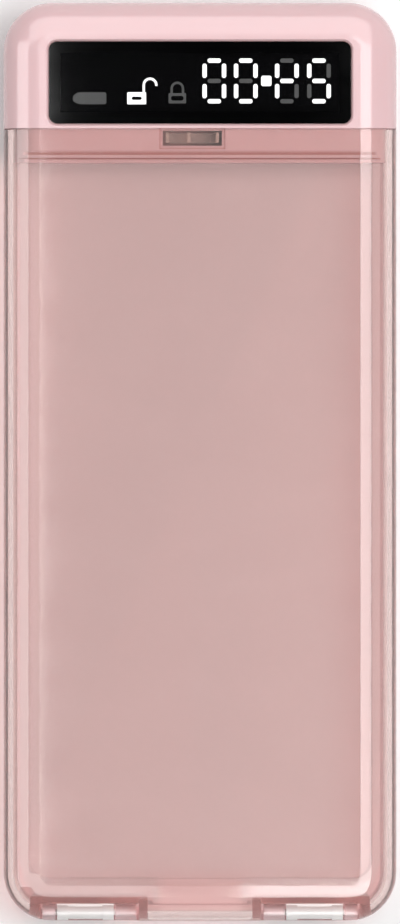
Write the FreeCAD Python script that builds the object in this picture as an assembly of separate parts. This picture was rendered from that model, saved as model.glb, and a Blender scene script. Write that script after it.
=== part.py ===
import FreeCAD, Part
import math
import os

# Timed lock container for one telephone, lying on its back.
# X runs across the width, +Y points at the head with the display, +Z out of the front.
# The origin is the middle of the back's outline, on the plane that the back rests on.

# ---------------------------------------------------------------- driving sizes, mm
width = 92.0
length = 215.0
depth = 25.0
corner_radius = 11.5
front_edge_radius = 8.5
back_edge_radius = 3.0
parting_height = 12.0  # joint between the back mouldings and the front mouldings
head_length = 29.5

tray_wall = 2.2
cover_wall = 2.2
head_wall = 2.2
neck_wall = 1.8
neck_reach = 8.0  # how far the head's neck stands into the tray
neck_root = 2.5  # how far the neck runs back inside the head
neck_clearance = 0.4  # from the neck to the tray and the cover around it
# the steps across the top of the neck's end: start and end behind the end, and depth
neck_steps = ((0.0, 0.75, 1.0), (0.75, 1.1, 1.9), (1.1, 1.8, 0.6), (1.8, 2.4, 1.2), (2.4, 2.75, 0.3))

running_gap = 0.3  # between pieces that move past each other
seam_gap = 0.15  # between fixed neighbours
seat_gap = 0.05  # between a screw or a board part and its hole

# the guard rail round the telephone's space
rail_wall = 1.6
rail_channel = 2.0  # between the rail and the tray's side wall
rail_end_margin = 8.4  # from the bottom end to the rail's outer face
rail_corner_radius = 6.0
rail_headroom = 3.3  # from the rail's top to the inside of the cover

# the charging slot in the bottom end
slot_width = 19.6
slot_height = 8.0
slot_floor = 3.6
duct_wall = 1.2
port_block_width = 27.8
port_block_rise = 3.4  # above the hinge axis
port_block_depth = 3.6
port_block_headroom = 1.0

# hinge along the bottom end
barrel_radius = 1.9
barrel_waist_radius = 1.65
barrel_collar = 2.6
barrel_inset = 0.15
hinge_centre_x = 26.85
cover_knuckle_length = 13.3
inner_knuckle_length = 4.95
outer_knuckle_length = 3.1
knuckle_gap = 0.35
hinge_web_rise = 1.0  # above the axis, from the cover's knuckle back to the wall behind it
hinge_pocket_wall = 2.0
hinge_relief_radius = 3.45
hinge_relief_half_length = 42.0
hinge_relief_end_radius = 0.5
pin_radius = 0.75
pin_end_inset = 0.5
pin_running_clearance = 0.06
pin_seat_clearance = 0.02

# display
window_side_margin = 10.75
window_height = 19.1
window_radius = 1.9
window_thickness = 1.2
window_recess = 0.15
window_seam_margin = 1.1
window_ledge = 1.8
window_bevel = 0.45
module_side_gap = 0.3
module_thickness = 3.3
mark_thickness = 0.3
board_thickness = 1.2
board_side_gap = 0.5  # to the case screw bosses
board_overhang_y = 5.6
board_corner_radius = 1.0

# the display's marks, drawn about the middle of a face that is then fitted to the module's
mark_side_margin = 3.45
mark_end_margin = 1.8
digit_centres_x = (3.34, 10.7, 20.3, 27.8)
digit_row_y = 0.4
digit_half_width = 2.27
digit_half_height = 4.75
bar_length_across = 3.1
bar_length_upright = 3.3
bar_width = 1.0
bar_corner = 0.3
dot_x = 15.5
dot_size = 2.4
icon_row_y = -3.65
icon_height = 2.8
battery_icon_x = -25.15
battery_icon_length = 6.5
battery_nose_length = 1.3
battery_nose_height = 1.5
icon_corner = 0.3
open_lock_x = -14.8
closed_lock_x = -5.3
open_lock_size = (4.4, 2.8)
open_keyhole_size = (2.4, 0.8)
open_shackle_radius = 1.75
open_shackle_rise = 1.7
open_shackle_end_angle = -8.0  # degrees below the level of its middle
closed_lock_size = (4.1, 2.4)
closed_keyhole_size = (2.9, 1.1)
closed_shackle_radius = 1.6
closed_shackle_rise = 1.1
shackle_thickness = 0.55
shackle_steps = 8

# catch on the cover, its slot, and the bolt
latch_x = -2.1
slot_side_play = 0.7
catch_seam_offset = 1.0
catch_depth = 2.4
catch_leg = 0.75
catch_foot = 1.8
catch_drop = 10.2
catch_left = 5.9
catch_middle = 0.5
catch_right = 6.5
catch_front_play = 0.4
catch_back_play = 0.7
latch_rim = 0.8
latch_rim_depth = 0.4
bolt_thickness = 2.0
bolt_below_front = 7.8
bolt_travel = 5.0
bolt_tip_clearance = 0.8
prong_side_play = 0.4
prong_chamfer = 0.5
bridge_length = 2.8
rack_width = 4.8
rack_length = 12.4
rack_overrun = 2.2  # rack left behind the pinion when the bolt is out
rack_strip = 0.9
rack_stake_radius = 0.7
rack_stake_inset = 2.6

# rack and pinion
gear_module = 0.5
pinion_teeth = 14
pressure_angle = 20.0
tooth_addendum = 0.8  # in modules
tooth_dedendum = 1.0  # in modules
tooth_backlash = 0.12
pinion_width = 4.4
pinion_hub_radius = 2.4
pinion_hub_length = 1.2
shaft_radius = 1.5
shaft_clearance = 0.05

# latch chassis and gear motor
chassis_wall = 1.6
chassis_base = 1.5
chassis_overrun = 2.0  # rack left bare behind the chassis when the bolt is back
chassis_front_gap = 0.2
chassis_shelf = 1.0
chassis_flange = 5.0
chassis_lip = 1.1
chassis_lip_thickness = 0.5
chassis_play = 0.4  # from the bolt to the chassis walls
chassis_shaft_play = 0.2
chassis_boss_radius = 2.2
chassis_screw_margin = 2.6  # from the chassis base's ends
motor_width = 12.0
motor_height = 10.0
gearbox_length = 9.0
motor_cap_length = 1.8
motor_cap_step = 0.8
motor_tab_length = 1.0
motor_tab_width = 1.6
motor_tab_thickness = 0.4
motor_tab_spread = 3.2
motor_end_room = 3.1  # from the motor's tabs to the case screw boss
motor_edge = 0.5
gearbox_plate = 1.0
gearbox_waist = 1.2
gearbox_post_width = 2.0
gearbox_post_spread = 3.6
shaft_in_gearbox = 3.0
shaft_end_gap = 0.3
clamp_thickness = 1.0
clamp_width = 6.0
clamp_corner = 2.4
cradle_rib = 1.8
cradle_gap = 1.0

# battery
battery_thickness = 8.0
battery_gap = 0.6  # to its neighbours
battery_edge_radius = 2.0

# controls on the head's end
control_height = 7.2
control_edge = 9.95  # from the end of the control board to the middle of its first switch
button_length = 10.0
button_height = 4.6
button_travel = 0.6
button_rim = 0.4
button_flange = 0.9
button_flange_thickness = 0.8
button_stub_radius = 1.4
button_dish_margin = 2.4
switch_size = 6.0
switch_depth = 3.1
switch_well_radius = 1.9
switch_well_depth = 2.2
control_board_behind = 7.4  # from the outside of the end to the board's outer face
control_board_height = 10.6
control_board_end_gap = 0.75
control_board_floor_gap = 0.3
usb_width = 8.9
usb_height = 3.3
usb_shell = 0.35
usb_setback = 0.5
usb_play = 0.25
usb_back = 1.0
usb_tongue_width = 6.6
usb_tongue_thickness = 0.7
usb_tongue_setback = 1.0

# parts on the underside of the main board
parts_row = 7.0  # from the board's lower edge to the middle of its parts
controller_size = 7.0
controller_height = 1.0
controller_inset = 23.2  # from the board's right end
driver_size = 4.0
driver_height = 0.9
driver_inset = 13.7  # from the board's right end
sounder_radius = 4.6
sounder_height = 3.4
sounder_inset = 9.7  # from the board's left end
sounder_port_radius = 0.8
sounder_port_depth = 0.8
plug_size = 4.0
plug_height = 3.0
plug_inset = 2.6  # from the board's upper edge
sensor_size = 2.2
sensor_height = 0.9
sensor_behind = 1.5  # from the pinion's axis towards the head's end

# the pin header that joins the two boards
header_x = -22.7
header_pins = 4
header_pitch = 1.8
header_margin = 1.0
header_depth = 2.0
header_height = 2.2
header_floor_gap = 0.5  # above the battery
header_pin_half = 0.32
header_socket_height = 3.0
header_pin_reach = 2.0  # into the socket

# leads of the battery and the motor
lead_radius = 0.4
lead_spread = 1.6
battery_lead_height = 7.0
battery_lead_run = 0.3
battery_lead_bend = 0.9
motor_lead_run = 0.3
motor_lead_bend = 1.0

# fasteners
case_screw_inset_x = 7.6
case_screw_seam_inset = 6.2
case_screw_end_inset = 7.2
boss_radius = 3.2
boss_bore_radius = 1.25
screw_radius = 1.1
screw_head_radius = 2.0
screw_head_height = 1.2
screw_head_play = 0.25
case_screw_head_depth = 7.0
case_screw_reach = 6.0
neck_screw_inset_x = 16.0
neck_screw_reach = 6.5
neck_screw_seat = 0.8
neck_screw_end_gap = 2.0
board_boss_radius = 2.2
board_screw_radius = 0.8
board_screw_head_radius = 1.6
board_screw_head_height = 0.9
board_screw_reach = 2.4
board_screw_inset_x = 5.5
board_screw_inset_y = 2.6
screw_hole_play = 0.15
screw_tip_gap = 0.2

# ---------------------------------------------------------------- places worked out
half_width = width / 2
neck_screw_x = half_width - neck_screw_inset_x
top_y = length / 2
bottom_y = -length / 2
seam_y = top_y - head_length
neck_end_y = seam_y - neck_reach
neck_inset = max(tray_wall, cover_wall, head_wall) + neck_clearance
neck_top = depth - neck_inset
neck_edge_radius = front_edge_radius - neck_inset
# the bevel along the head hollow's front edges just clears the rounded neck
hollow_bevel = 2 * (front_edge_radius - head_wall) - math.sqrt(2) * (neck_edge_radius + seam_gap)
cover_inside = depth - cover_wall
cover_bottom = parting_height + running_gap
cover_end_y = seam_y - running_gap

axis_y = bottom_y + barrel_radius + barrel_inset
axis_z = parting_height

rail_half_width = half_width - tray_wall - rail_channel
rail_bottom_y = bottom_y + rail_end_margin
rail_top = cover_inside - rail_headroom

window_width = width - 2 * window_side_margin
window_y0 = seam_y + window_seam_margin
window_y1 = window_y0 + window_height
window_front = depth - window_recess
window_back = window_front - window_thickness
module_face = window_back - mark_thickness
module_back = module_face - module_thickness
board_top = module_back
board_bottom = board_top - board_thickness

battery_icon_reach = battery_icon_length / 2 + battery_nose_length - battery_icon_x
drawn_face_width = 2 * (battery_icon_reach + mark_side_margin)
drawn_face_height = 2 * (digit_row_y + digit_half_height + bar_width / 2 + mark_end_margin)

bolt_top = depth - bolt_below_front
bolt_bottom = bolt_top - bolt_thickness
catch_y1 = seam_y - catch_seam_offset
catch_y0 = catch_y1 - catch_depth
catch_bottom = cover_inside - catch_drop
catch_x0 = latch_x - catch_left
catch_x1 = latch_x + catch_right
catch_mid_x0 = latch_x - catch_middle - catch_leg / 2
catch_mid_x1 = catch_mid_x0 + catch_leg
prong_tip_y = catch_y1 + bolt_tip_clearance
prong_root_y = catch_y1 + bolt_travel + 2 * running_gap
bridge_y1 = prong_root_y + bridge_length

pitch_radius = gear_module * pinion_teeth / 2
rack_pitch_z = bolt_bottom - gear_module * tooth_dedendum
pinion_z = rack_pitch_z - pitch_radius
pinion_tip_radius = pitch_radius + gear_module * tooth_addendum
rack_y1 = bridge_y1 + rack_length
pinion_y = rack_y1 - bolt_travel - rack_overrun

bolt_x0 = catch_x0 + catch_leg + prong_side_play
bolt_x1 = catch_x1 - catch_leg - prong_side_play
chassis_x0 = bolt_x0 - chassis_play - chassis_wall
chassis_x1 = bolt_x1 + chassis_play + chassis_wall
chassis_y0 = prong_root_y - bolt_travel - chassis_front_gap
chassis_base_y0 = seam_y + neck_root + running_gap
chassis_y1 = rack_y1 - chassis_overrun
chassis_floor = pinion_z - pinion_tip_radius - 2 * running_gap
chassis_foot = chassis_floor - chassis_base
chassis_shelf_top = bolt_bottom - running_gap
chassis_top = bolt_top + running_gap + chassis_lip_thickness

case_screw_x = half_width - case_screw_inset_x
board_half_x = case_screw_x - boss_radius - board_side_gap
control_half_x = case_screw_x - boss_radius - control_board_end_gap
control_pitch = (control_half_x - control_edge) * 2 / 3
usb_x = control_half_x - control_edge
control_board_top = head_wall + control_board_floor_gap + control_board_height
control_board_y1 = top_y - control_board_behind
control_board_y0 = control_board_y1 - board_thickness

gearbox_x1 = chassis_x1 + gearbox_length
motor_x1 = case_screw_x - boss_radius - motor_end_room - motor_tab_length - motor_cap_length
motor_cap_x1 = motor_x1 + motor_cap_length
clamp_x0 = (gearbox_x1 + motor_x1 - clamp_width) / 2
clamp_x1 = clamp_x0 + clamp_width

battery_x1 = chassis_x0 - chassis_flange - battery_gap
battery_lead_x = battery_x1 + battery_lead_run + battery_lead_bend


# ---------------------------------------------------------------- plain shapes
def block(x0, x1, y0, y1, z0, z1):
    """A box between two corners."""
    return Part.makeBox(x1 - x0, y1 - y0, z1 - z0, FreeCAD.Vector(x0, y0, z0))


def rod(start, direction, radius, reach):
    """A cylinder from a point along a direction."""
    return Part.makeCylinder(radius, reach, FreeCAD.Vector(*start), FreeCAD.Vector(*direction))


def rod_x(x0, x1, y, z, radius):
    return rod((x0, y, z), (1, 0, 0), radius, x1 - x0)


def rod_y(x, y0, y1, z, radius):
    return rod((x, y0, z), (0, 1, 0), radius, y1 - y0)


def rod_z(x, y, z0, z1, radius):
    return rod((x, y, z0), (0, 0, 1), radius, z1 - z0)


def fuse(solids):
    """One solid out of several that meet."""
    first, *others = solids
    return first.multiFuse(others).removeSplitter() if others else first


def rounded_block(x0, x1, y0, y1, z0, z1, radius):
    """A box whose four upright edges are rounded."""
    solid = block(x0, x1, y0, y1, z0, z1)
    upright = [e for e in solid.Edges if abs(e.Vertexes[0].Z - e.Vertexes[-1].Z) > 1e-6]
    return solid.makeFillet(radius, upright)


def pill_along_y(x, z, span, height, y0, y1):
    """A bar with round ends, span long in X, pushed through from y0 to y1."""
    radius = height / 2
    reach = span / 2 - radius
    middle = block(x - reach, x + reach, y0, y1, z - radius, z + radius)
    ends = [rod_y(x + side * reach, y0, y1, z, radius) for side in (-1, 1)]
    return fuse([middle] + ends)


def mirrored(solid):
    """The same solid on the other side of the middle plane."""
    return solid.mirror(FreeCAD.Vector(0, 0, 0), FreeCAD.Vector(1, 0, 0))


def body_form(inset):
    """The container's whole outer form, drawn in by the same amount on every side.

    The outside has a rounded back edge; the hollows inside it meet their floor squarely.
    """
    x = half_width - inset
    y = length / 2 - inset
    z0 = inset
    z1 = depth - inset
    solid = rounded_block(-x, x, -y, y, z0, z1, corner_radius - inset)
    front = [e for e in solid.Edges if e.BoundBox.ZMin > z1 - 1e-4]
    solid = solid.makeFillet(front_edge_radius - inset, front)
    if inset > back_edge_radius / 2:
        return solid
    back = [e for e in solid.Edges if e.BoundBox.ZMax < z0 + 1e-4]
    return solid.makeFillet(back_edge_radius - inset, back)


def head_hollow():
    """The room inside the head: straight walls, and a bevel along the front edges."""
    x = half_width - head_wall
    y = length / 2 - head_wall
    z1 = depth - head_wall
    solid = rounded_block(-x, x, -y, y, head_wall, z1, corner_radius - head_wall)
    front = [e for e in solid.Edges if e.BoundBox.ZMin > z1 - 1e-4]
    return solid.makeChamfer(hollow_bevel, front)


def between(solid, y0=bottom_y - 1, y1=top_y + 1, z0=-1.0, z1=depth + 1):
    """The part of a solid between two Y planes and two Z planes."""
    return solid.common(block(-half_width - 1, half_width + 1, y0, y1, z0, z1))


def screw(x, y, head_z, reach):
    """A pan-head screw driven in from the back, with a cross recess in its head."""
    head = rod_z(x, y, head_z, head_z + screw_head_height, screw_head_radius)
    shank = rod_z(x, y, head_z + screw_head_height, head_z + screw_head_height + reach, screw_radius)
    arm = screw_head_radius * 0.62
    blade = screw_head_radius * 0.14
    deep = screw_head_height * 0.55
    cross = fuse(
        [
            block(x - arm, x + arm, y - blade, y + blade, head_z, head_z + deep),
            block(x - blade, x + blade, y - arm, y + arm, head_z, head_z + deep),
        ]
    )
    return fuse([head, shank]).cut(cross)


# ---------------------------------------------------------------- rear tray
def rail_plan(outset):
    """The rail's plan as a solid, its outer face drawn out by outset, tall enough to cut with."""
    x = rail_half_width + outset
    y0 = rail_bottom_y - outset
    y1 = neck_end_y - seam_gap
    radius = rail_corner_radius + outset
    return rounded_block(-x, x, y0, y1 + 2 * radius, tray_wall / 2, rail_top, radius)


def tray_knuckle_spans():
    """Inner and outer end of each of the tray's knuckles on the +X side."""
    cover_x0 = hinge_centre_x - cover_knuckle_length / 2
    cover_x1 = hinge_centre_x + cover_knuckle_length / 2
    inner = (cover_x0 - knuckle_gap - inner_knuckle_length, cover_x0 - knuckle_gap)
    outer = (cover_x1 + knuckle_gap, cover_x1 + knuckle_gap + outer_knuckle_length)
    return inner, outer


def hinge_relief():
    """The room that the cover's lower edge sweeps: a round groove that tapers off at the corners."""
    _, (_, outer_x) = tray_knuckle_spans()
    groove = rod_x(-outer_x, outer_x, axis_y, axis_z, hinge_relief_radius)
    taper = Part.makeCone(
        hinge_relief_radius,
        hinge_relief_end_radius,
        hinge_relief_half_length - outer_x,
        FreeCAD.Vector(outer_x, axis_y, axis_z),
        FreeCAD.Vector(1, 0, 0),
    )
    return fuse([groove, taper, mirrored(taper)])


def rear_tray():
    outside = body_form(0)
    shell = between(outside, y1=seam_y - seam_gap, z1=parting_height).cut(body_form(tray_wall))

    rail = rail_plan(0).cut(rail_plan(-rail_wall))
    rail = between(rail, y1=neck_end_y - seam_gap)
    shell = fuse([shell, rail])

    shell = shell.cut(hinge_relief())

    additions = []
    for x0, x1 in tray_knuckle_spans():
        barrel = rod_x(x0, x1, axis_y, axis_z, barrel_radius)
        foot = block(
            x0, x1, axis_y - barrel_radius, axis_y + barrel_radius, tray_wall / 2, axis_z
        )
        knuckle = fuse([barrel, foot]).common(outside)
        additions += [knuckle, mirrored(knuckle)]

    port = block(
        -port_block_width / 2,
        port_block_width / 2,
        bottom_y,
        bottom_y + port_block_depth,
        tray_wall / 2,
        axis_z + port_block_rise,
    ).common(outside)
    duct_half = slot_width / 2 + duct_wall
    duct = block(
        -duct_half,
        duct_half,
        bottom_y + port_block_depth - 0.5,
        rail_bottom_y + rail_wall / 2,
        tray_wall / 2,
        slot_floor + slot_height + duct_wall,
    )
    shell = fuse([shell, port, duct] + additions)

    slot = block(
        -slot_width / 2,
        slot_width / 2,
        bottom_y - 1,
        rail_bottom_y + rail_wall + 0.01,
        slot_floor,
        slot_floor + slot_height,
    )
    shell = shell.cut(slot)

    for side in (-1, 1):
        pin = hinge_pin(side, pin_seat_clearance)
        shell = shell.cut(pin)
        x = side * neck_screw_x
        y = seam_y - neck_reach / 2
        shell = shell.cut(rod_z(x, y, -1, neck_screw_seat + screw_head_height, counterbore_radius()))
        shell = shell.cut(rod_z(x, y, -1, tray_wall + 1, boss_bore_radius))
    return shell.removeSplitter()


def counterbore_radius():
    return screw_head_radius + screw_head_play


def hinge_pin(side, growth):
    """One hinge pin, or its hole when growth is the clearance round it."""
    (inner_x, _), (_, outer_x) = tray_knuckle_spans()
    x0 = inner_x + pin_end_inset
    x1 = outer_x - pin_end_inset
    pin = rod_x(x0 - growth, x1 + growth, axis_y, axis_z, pin_radius + growth)
    return pin if side > 0 else mirrored(pin)


# ---------------------------------------------------------------- front cover
def front_cover():
    outside = body_form(0)
    shell = between(outside, y1=cover_end_y, z0=cover_bottom).cut(body_form(cover_wall))

    port_half = port_block_width / 2 + knuckle_gap
    port_notch_y = bottom_y + port_block_depth + knuckle_gap
    port_notch_top = axis_z + port_block_rise + port_block_headroom
    port_notch = block(-port_half, port_half, bottom_y - 1, port_notch_y, cover_bottom - 1, port_notch_top)
    _, (_, outer_x) = tray_knuckle_spans()
    pocket_x1 = outer_x + knuckle_gap
    pocket_y = axis_y + barrel_radius + knuckle_gap
    wall = hinge_pocket_wall
    back_wall = block(port_half, pocket_x1 + wall, bottom_y, pocket_y + wall, cover_bottom, depth)
    side_wall = block(port_half - wall, port_half, bottom_y, pocket_y + wall, port_notch_top, depth)
    pocket_walls = back_wall.fuse(side_wall).common(outside)
    pocket = block(port_half, pocket_x1, bottom_y - 1, pocket_y, cover_bottom - 1, depth + 1)
    shell = fuse([shell, pocket_walls, mirrored(pocket_walls)])
    shell = shell.cut(port_notch.multiFuse([pocket, mirrored(pocket)]))

    x0 = hinge_centre_x - cover_knuckle_length / 2
    x1 = hinge_centre_x + cover_knuckle_length / 2
    waist = rod_x(x0, x1, axis_y, axis_z, barrel_waist_radius)
    collars = [
        rod_x(x0, x0 + barrel_collar, axis_y, axis_z, barrel_radius),
        rod_x(x1 - barrel_collar, x1, axis_y, axis_z, barrel_radius),
    ]
    web = block(x0, x1, axis_y, pocket_y + wall / 2, cover_bottom, axis_z + hinge_web_rise)
    knuckle = fuse([waist, web] + collars)
    bore = rod_x(x0 - 1, x1 + 1, axis_y, axis_z, pin_radius + pin_running_clearance)
    shell = fuse([shell, knuckle, mirrored(knuckle)])
    return shell.cut(bore).cut(mirrored(bore)).removeSplitter()


def cover_catch():
    """Two eyes side by side, hung from the inside of the cover: three legs and a foot."""
    legs = [
        block(x0, x0 + catch_leg, catch_y0, catch_y1, catch_bottom, cover_inside)
        for x0 in (catch_x0, catch_mid_x0, catch_x1 - catch_leg)
    ]
    foot = block(catch_x0, catch_x1, catch_y0, catch_y1, catch_bottom, catch_bottom + catch_foot)
    catch = fuse(legs + [foot])
    lead = [
        e
        for e in catch.Edges
        if e.BoundBox.ZMax < catch_bottom + 1e-4 and e.BoundBox.XLength > catch_foot
    ]
    return catch.makeChamfer(catch_foot * 0.35, lead)


# ---------------------------------------------------------------- head shells
def case_screw_places():
    return [
        (side * case_screw_x, y)
        for side in (-1, 1)
        for y in (seam_y + case_screw_seam_inset, top_y - case_screw_end_inset)
    ]


def button_places():
    return [control_edge - control_half_x + i * control_pitch for i in range(3)]


def head_rear_shell():
    outside = body_form(0)
    shell = between(outside, y0=seam_y, z1=parting_height).cut(head_hollow())

    neck_hollow = between(body_form(neck_inset + neck_wall), y0=neck_end_y + neck_wall)
    ring = between(outside, y0=seam_y, y1=seam_y + neck_root, z1=parting_height)
    neck = between(body_form(neck_inset), y0=neck_end_y, y1=seam_y + neck_root)
    shell = fuse([shell, ring.cut(neck_hollow), neck.cut(neck_hollow)])

    for start, end, drop in neck_steps:
        shell = shell.cut(
            block(
                -half_width,
                half_width,
                neck_end_y + start - 1e-3,
                neck_end_y + end,
                neck_top - drop,
                depth,
            )
        )

    slot_x0 = catch_x0 - slot_side_play
    slot_x1 = catch_x1 + slot_side_play
    slot_y0 = catch_y0 - catch_back_play
    slot_y1 = catch_y1 + catch_front_play
    slot = block(slot_x0, slot_x1, slot_y0, slot_y1, neck_top - neck_wall - 1, depth)
    rim = block(
        slot_x0 - latch_rim,
        slot_x1 + latch_rim,
        slot_y0 - latch_rim,
        slot_y1 + latch_rim,
        neck_top - latch_rim_depth,
        depth,
    )
    shell = shell.cut(slot.fuse(between(rim, y1=seam_y + seam_gap)))

    bosses = [rod_z(x, y, head_wall / 2, parting_height, boss_radius) for x, y in case_screw_places()]
    neck_boss_top = neck_inset + neck_wall + neck_screw_reach
    neck_y = seam_y - neck_reach / 2
    for side in (-1, 1):
        bosses.append(rod_z(side * neck_screw_x, neck_y, neck_inset, neck_boss_top, boss_radius))
    for x, y in chassis_screw_places():
        bosses.append(rod_z(x, y, head_wall / 2, chassis_foot, chassis_boss_radius))
    bosses += motor_cradle()
    shell = fuse([shell] + bosses)

    for x, y in case_screw_places():
        shell = shell.cut(rod_z(x, y, -1, case_screw_head_depth + screw_head_height, counterbore_radius()))
        shell = shell.cut(rod_z(x, y, -1, parting_height + 1, boss_bore_radius))
    for side in (-1, 1):
        pilot = screw_radius + seat_gap
        shell = shell.cut(rod_z(side * neck_screw_x, neck_y, 0, neck_boss_top - 1, pilot))
    for x, y in chassis_screw_places():
        shell = shell.cut(rod_z(x, y, head_wall, chassis_foot + 1, screw_radius + seat_gap))

    dish_y = top_y - button_travel
    buttons = button_places()
    dish_x = (buttons[0] + buttons[-1]) / 2
    dish_span = buttons[-1] - buttons[0] + button_length + 2 * button_dish_margin
    dish_height = button_height + 2 * button_dish_margin
    shell = shell.cut(pill_along_y(dish_x, control_height, dish_span, dish_height, dish_y, top_y + 1))
    for x in buttons:
        shell = shell.cut(
            pill_along_y(
                x,
                control_height,
                button_length + 2 * running_gap,
                button_height + 2 * running_gap,
                top_y - 2 * head_wall,
                top_y,
            )
        )
    shell = shell.cut(
        pill_along_y(
            usb_x,
            control_height,
            usb_width + 2 * usb_play,
            usb_height + 2 * usb_play,
            top_y - 2 * head_wall,
            top_y + 1,
        )
    )
    return shell.removeSplitter()


def head_front_shell():
    outside = body_form(0)
    shell = between(outside, y0=seam_y, z0=parting_height + seam_gap).cut(head_hollow())

    bosses = []
    boss_form = body_form(head_wall / 2)
    for x, y in case_screw_places():
        bosses.append(rod_z(x, y, parting_height + seam_gap, depth, boss_radius).common(boss_form))
    for x, y in board_screw_places():
        bosses.append(rod_z(x, y, board_top, depth, board_boss_radius).common(boss_form))
    shell = fuse([shell] + bosses)

    pilot_top = parting_height + case_screw_reach + screw_tip_gap
    for x, y in case_screw_places():
        shell = shell.cut(rod_z(x, y, parting_height, pilot_top, screw_radius + seat_gap))
    for x, y in board_screw_places():
        hole_top = board_top + board_screw_reach + screw_tip_gap
        shell = shell.cut(rod_z(x, y, board_top, hole_top, board_screw_radius + seat_gap))

    half = window_width / 2
    recess = rounded_block(
        -half - seam_gap,
        half + seam_gap,
        window_y0 - seam_gap,
        window_y1 + seam_gap,
        window_back,
        depth + 1,
        window_radius + seam_gap,
    )
    opening = block(
        -half + window_ledge,
        half - window_ledge,
        window_y0 + window_ledge,
        window_y1 - window_ledge,
        board_top,
        depth,
    )
    shell = shell.cut(recess.fuse(opening))
    rim_z = depth
    rim = [
        e
        for e in shell.Edges
        if e.BoundBox.ZMin > rim_z - 1e-3
        and e.BoundBox.YMin > window_y0 - 1
        and e.BoundBox.YMax < window_y1 + 0.6
        and e.BoundBox.XMax < half + 1
        and e.BoundBox.XMin > -half - 1
        and e.BoundBox.YMin > seam_y + 0.1
    ]
    return shell.makeChamfer(window_bevel, rim).removeSplitter()


# ---------------------------------------------------------------- display
def display_window():
    half = window_width / 2
    return rounded_block(
        -half, half, window_y0, window_y1, window_back, window_front, window_radius
    )


def module_outline():
    half_x = window_width / 2 - window_ledge - module_side_gap
    y0 = window_y0 + window_ledge + module_side_gap
    y1 = window_y1 - window_ledge - module_side_gap
    return half_x, y0, y1


def mark(outline, shift_x, shift_y):
    """One light mark on the module's face, from its drawn outline and the drawn place of its middle."""
    half_x, y0, y1 = module_outline()
    fit_x = 2 * half_x / drawn_face_width
    fit_y = (y1 - y0) / drawn_face_height
    fit = min(fit_x, fit_y)
    middle_x = shift_x * fit_x
    middle_y = (y0 + y1) / 2 + shift_y * fit_y
    points = [FreeCAD.Vector(middle_x + x * fit, middle_y + y * fit, module_face) for x, y in outline]
    face = Part.Face(Part.makePolygon(points + points[:1]))
    return face.extrude(FreeCAD.Vector(0, 0, mark_thickness))


def cut_corner_outline(across, upright, corner):
    """A rectangle about the middle with its four corners cut off."""
    x = across / 2
    y = upright / 2
    return [
        (x - corner, -y),
        (x, corner - y),
        (x, y - corner),
        (x - corner, y),
        (corner - x, y),
        (-x, y - corner),
        (-x, corner - y),
        (corner - x, -y),
    ]


def segment_bars(centre_x):
    """The seven bars of one digit by their usual letters."""
    w = digit_half_width
    h = digit_half_height
    across = cut_corner_outline(bar_length_across, bar_width, bar_corner)
    upright = cut_corner_outline(bar_width, bar_length_upright, bar_corner)
    bars = {}
    for letter, rise in {"a": h, "g": 0.0, "d": -h}.items():
        bars[letter] = mark(across, centre_x, digit_row_y + rise)
    for letter, (side, rise) in {"f": (-w, h), "b": (w, h), "e": (-w, -h), "c": (w, -h)}.items():
        bars[letter] = mark(upright, centre_x + side, digit_row_y + rise / 2)
    return bars


def battery_icon():
    """A plain battery standing on its side, its nose to the left."""
    half = battery_icon_length / 2
    high = icon_height / 2
    nose = battery_nose_height / 2
    cut = icon_corner
    left = -half - battery_nose_length
    outline = [(-half, -high), (half - cut, -high), (half, cut - high), (half, high - cut)]
    outline += [(half - cut, high), (-half, high), (left + cut, nose), (left, nose - cut)]
    outline += [(left, cut - nose), (left + cut, -nose)]
    return mark(outline, battery_icon_x, icon_row_y)


def padlock_body(size, keyhole_size, x):
    """A padlock's body with its keyhole, and the height of its upper edge."""
    body = mark(cut_corner_outline(*size, icon_corner / 2), x, icon_row_y)
    keyhole = mark(cut_corner_outline(*keyhole_size, icon_corner), x, icon_row_y)
    return body.cut(keyhole), size[1] / 2


def shackle_arc(centre, radius, start_degrees):
    """Points round the top of a shackle, from its right end to the level of its middle on the left."""
    start = math.radians(start_degrees)
    turns = [start + (math.pi - start) * i / shackle_steps for i in range(shackle_steps + 1)]
    return [(centre[0] + radius * math.cos(a), centre[1] + radius * math.sin(a)) for a in turns]


def open_padlock_icon():
    """A plain padlock whose shackle stands up from its right end and over to the right."""
    body, foot = padlock_body(open_lock_size, open_keyhole_size, open_lock_x)
    left = open_lock_size[0] / 2 - 1.5 * shackle_thickness
    centre = (left + open_shackle_radius, foot + open_shackle_rise)
    inner = open_shackle_radius - shackle_thickness
    outline = shackle_arc(centre, open_shackle_radius, open_shackle_end_angle)
    outline += [(left, foot), (left + shackle_thickness, foot)]
    outline += reversed(shackle_arc(centre, inner, open_shackle_end_angle))
    return fuse([body, mark(outline, open_lock_x, icon_row_y)])


def closed_padlock_icon():
    """A plain padlock whose shackle closes over the body."""
    body, foot = padlock_body(closed_lock_size, closed_keyhole_size, closed_lock_x)
    centre = (0.0, foot + closed_shackle_rise)
    inner = closed_shackle_radius - shackle_thickness
    outline = [(closed_shackle_radius, foot)] + shackle_arc(centre, closed_shackle_radius, 0.0)
    outline += [(-closed_shackle_radius, foot), (-inner, foot)]
    outline += list(reversed(shackle_arc(centre, inner, 0.0))) + [(inner, foot)]
    return fuse([body, mark(outline, closed_lock_x, icon_row_y)])


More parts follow.
